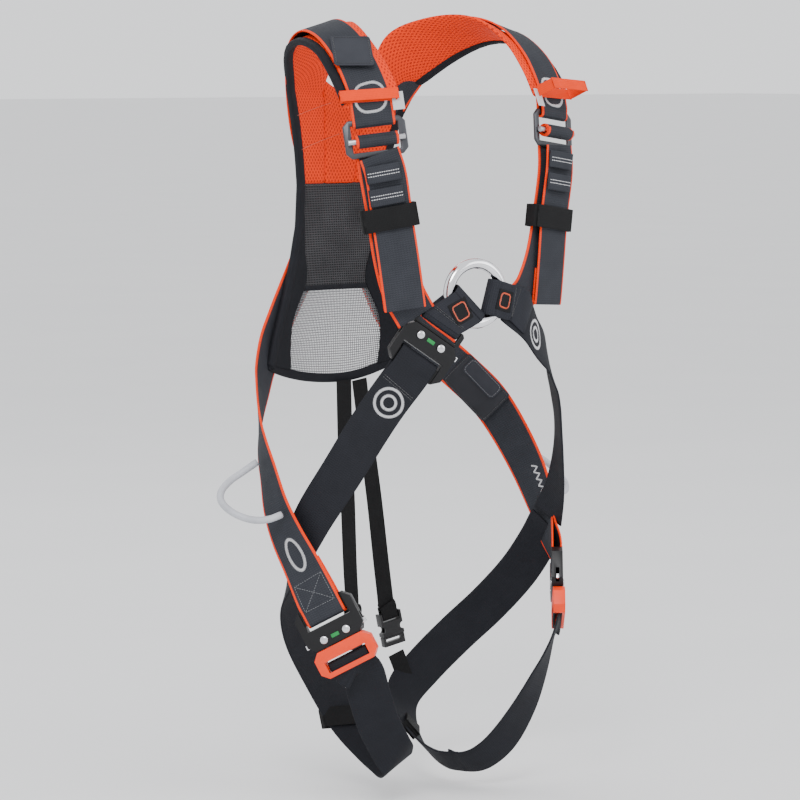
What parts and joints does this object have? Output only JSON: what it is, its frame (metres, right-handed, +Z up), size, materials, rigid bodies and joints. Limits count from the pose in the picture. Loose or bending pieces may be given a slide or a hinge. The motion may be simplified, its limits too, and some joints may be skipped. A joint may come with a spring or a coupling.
{
  "type": "safety harness",
  "caption": "Full-body fall-arrest harness hung as worn: padded yoke, sternal and dorsal rings, quick buckles at chest and legs, waist straps and leg loops.",
  "frame": {"origin": "on the wearer's torso axis at waist level, inside the open harness", "axes": "+X to the wearer's left, +Y to the wearer's back, +Z up along the torso"},
  "size_m": [0.48, 0.2802, 0.8223],
  "materials": {
    "orange_mesh": "perforated spacer mesh",
    "dark_mesh": "dark mesh",
    "pale_mesh": "open white mesh",
    "binding": "binding tape",
    "grey_webbing": "grey webbing with orange edges",
    "dark_webbing": "dark grey webbing",
    "black_elastic": "elastic tape",
    "orange_tape": "orange tape",
    "label": "stitched patch",
    "polished_metal": "polished",
    "frame_metal": "dark grey coat",
    "bar_metal": "satin",
    "black_metal": "black satin coat",
    "orange_cover": "moulded",
    "black_plastic": "moulded",
    "green_plastic": "moulded",
    "grey_tube": "soft tube",
    "steel": "plated"
  },
  "bodies": {
    "root": {"back_pad_upper": "orange_mesh", "back_panel_mid": "dark_mesh", "back_mesh_panel": "pale_mesh", "yoke_binding": "binding", "shoulder_pad_right": "orange_mesh", "shoulder_pad_left": "orange_mesh", "main_webbing_right": "grey_webbing", "main_webbing_left": "grey_webbing", "dorsal_plate": "black_plastic", "name_patch": "label", "adjuster_frame_right": "frame_metal", "adjuster_frame_left": "frame_metal", "front_webbing_right": "grey_webbing", "front_webbing_left": "grey_webbing", "tail_elastics": "grey_webbing", "lanyard_keepers": "orange_tape", "sternal_loop_right": "dark_webbing", "sternal_loop_left": "dark_webbing", "chest_buckle_tongue": "black_metal", "chest_strap_right": "dark_webbing", "chest_strap_left": "dark_webbing", "label_pocket": "dark_webbing", "gear_loop_right": "grey_tube", "gear_loop_left": "grey_tube", "leg_loop_right": "dark_webbing", "leg_loop_left": "dark_webbing", "leg_front_right": "dark_webbing", "leg_front_left": "dark_webbing", "leg_keepers": "black_elastic", "leg_buckle_body_right": "black_metal", "leg_buckle_body_left": "black_metal", "leg_buckle_rivets": "steel", "leg_buckle_indicators": "green_plastic", "back_elastic_right": "black_elastic", "back_elastic_left": "black_elastic", "side_release_plug_right": "black_plastic", "side_release_plug_left": "black_plastic", "plug_webbing": "black_elastic"},
    "sternal_ring": {"sternal_ring": "polished_metal"},
    "dorsal_ring": {"dorsal_ring": "polished_metal"},
    "chest_buckle": {"chest_buckle_body": "black_metal", "chest_buckle_rivets": "steel", "chest_buckle_indicator": "green_plastic"},
    "chest_lever_outer": {"chest_lever_outer": "steel"},
    "chest_lever_inner": {"chest_lever_inner": "steel"},
    "leg_tongue_right": {"leg_buckle_tongue_right": "orange_cover"},
    "leg_tongue_left": {"leg_buckle_tongue_left": "orange_cover"},
    "leg_lever_right_outer": {"leg_lever_right_outer": "steel"},
    "leg_lever_right_inner": {"leg_lever_right_inner": "steel"},
    "leg_lever_left_outer": {"leg_lever_left_outer": "steel"},
    "leg_lever_left_inner": {"leg_lever_left_inner": "steel"},
    "adjuster_bar_right": {"adjuster_bar_right": "bar_metal", "strap_roll_right": "grey_webbing"},
    "adjuster_bar_left": {"adjuster_bar_left": "bar_metal", "strap_roll_left": "grey_webbing"},
    "socket_right": {"side_release_socket_right": "black_plastic"},
    "socket_left": {"side_release_socket_left": "black_plastic"},
    "label_flap": {"label_flap": "label"},
    "elastic_keeper_right": {"elastic_keeper_right": "black_elastic"},
    "elastic_keeper_left": {"elastic_keeper_left": "black_elastic"}
  },
  "joints": [
    {"name": "sternal_ring_swing", "type": "hinge", "parent": "root", "child": "sternal_ring", "pos_m": [0.00391, -0.11083, 0.105], "axis": [0.9459, -0.2011, 0.2547], "range_deg": [-10, 20], "deforming": ["sternal_loop_right", "sternal_loop_left"]},
    {"name": "dorsal_ring_swing", "type": "hinge", "parent": "root", "child": "dorsal_ring", "pos_m": [0, 0.141, 0.209], "axis": [1, 0, 0], "range_deg": [0, 150]},
    {"name": "chest_buckle_release", "type": "slide", "parent": "root", "child": "chest_buckle", "axis": [-0.5198, 0.2424, -0.8192], "range_m": [0, 0.026], "deforming": ["chest_strap_right"]},
    {"name": "chest_lever_outer_press", "type": "hinge", "parent": "chest_buckle", "child": "chest_lever_outer", "pos_m": [-0.06831, -0.09992, 0.07937], "axis": [-0.4226, -0.9063, 0], "range_deg": [0, 12], "stiffness_Nm_per_rad": 0.02},
    {"name": "chest_lever_inner_press", "type": "hinge", "parent": "chest_buckle", "child": "chest_lever_inner", "pos_m": [-0.04872, -0.10906, 0.06423], "axis": [0.4226, 0.9063, 0], "range_deg": [0, 12], "stiffness_Nm_per_rad": 0.02},
    {"name": "leg_release_right", "type": "slide", "parent": "root", "child": "leg_tongue_right", "axis": [0.3018, -0.3596, -0.8829], "range_m": [0, 0.026], "deforming": ["leg_front_right"]},
    {"name": "leg_release_left", "type": "slide", "parent": "root", "child": "leg_tongue_left", "axis": [-0.3018, -0.3596, -0.8829], "range_m": [0, 0.026], "deforming": ["leg_front_left"]},
    {"name": "leg_lever_right_outer_press", "type": "hinge", "parent": "root", "child": "leg_lever_right_outer", "pos_m": [-0.16315, -0.06025, -0.23691], "axis": [0.766, 0.6428, 0], "range_deg": [0, 12], "stiffness_Nm_per_rad": 0.02},
    {"name": "leg_lever_right_inner_press", "type": "hinge", "parent": "root", "child": "leg_lever_right_inner", "pos_m": [-0.14816, -0.07811, -0.22452], "axis": [-0.766, -0.6428, 0], "range_deg": [0, 12], "stiffness_Nm_per_rad": 0.02},
    {"name": "leg_lever_left_outer_press", "type": "hinge", "parent": "root", "child": "leg_lever_left_outer", "pos_m": [0.16115, -0.06025, -0.21491], "axis": [0.766, -0.6428, 0], "range_deg": [0, 12], "stiffness_Nm_per_rad": 0.02},
    {"name": "leg_lever_left_inner_press", "type": "hinge", "parent": "root", "child": "leg_lever_left_inner", "pos_m": [0.14616, -0.07811, -0.20252], "axis": [-0.766, 0.6428, 0], "range_deg": [0, 12], "stiffness_Nm_per_rad": 0.02},
    {"name": "adjuster_bar_right_slide", "type": "slide", "parent": "root", "child": "adjuster_bar_right", "axis": [-0.0365, 0.1806, 0.9829], "range_m": [0, 0.003]},
    {"name": "adjuster_bar_left_slide", "type": "slide", "parent": "root", "child": "adjuster_bar_left", "axis": [0.0905, 0.1605, 0.9829], "range_m": [0, 0.003]},
    {"name": "side_release_right_pull", "type": "slide", "parent": "root", "child": "socket_right", "axis": [0.0519, 0.0064, 0.9986], "range_m": [0, 0.018], "deforming": ["back_elastic_right"]},
    {"name": "side_release_left_pull", "type": "slide", "parent": "root", "child": "socket_left", "axis": [-0.2059, 0.0289, 0.9781], "range_m": [0, 0.018], "deforming": ["back_elastic_left"]},
    {"name": "label_flap_lift", "type": "hinge", "parent": "root", "child": "label_flap", "pos_m": [0.14477, 0.03369, 0.02032], "axis": [-0.4255, 0.5647, 0.7071], "range_deg": [0, 100]},
    {"name": "elastic_keeper_right_slide", "type": "slide", "parent": "root", "child": "elastic_keeper_right", "axis": [-0.1504, 0.0868, 0.9848], "range_m": [-0.01, 0]},
    {"name": "elastic_keeper_left_slide", "type": "slide", "parent": "root", "child": "elastic_keeper_left", "axis": [0.1378, 0.0194, 0.9903], "range_m": [-0.006, 0]}
  ]
}
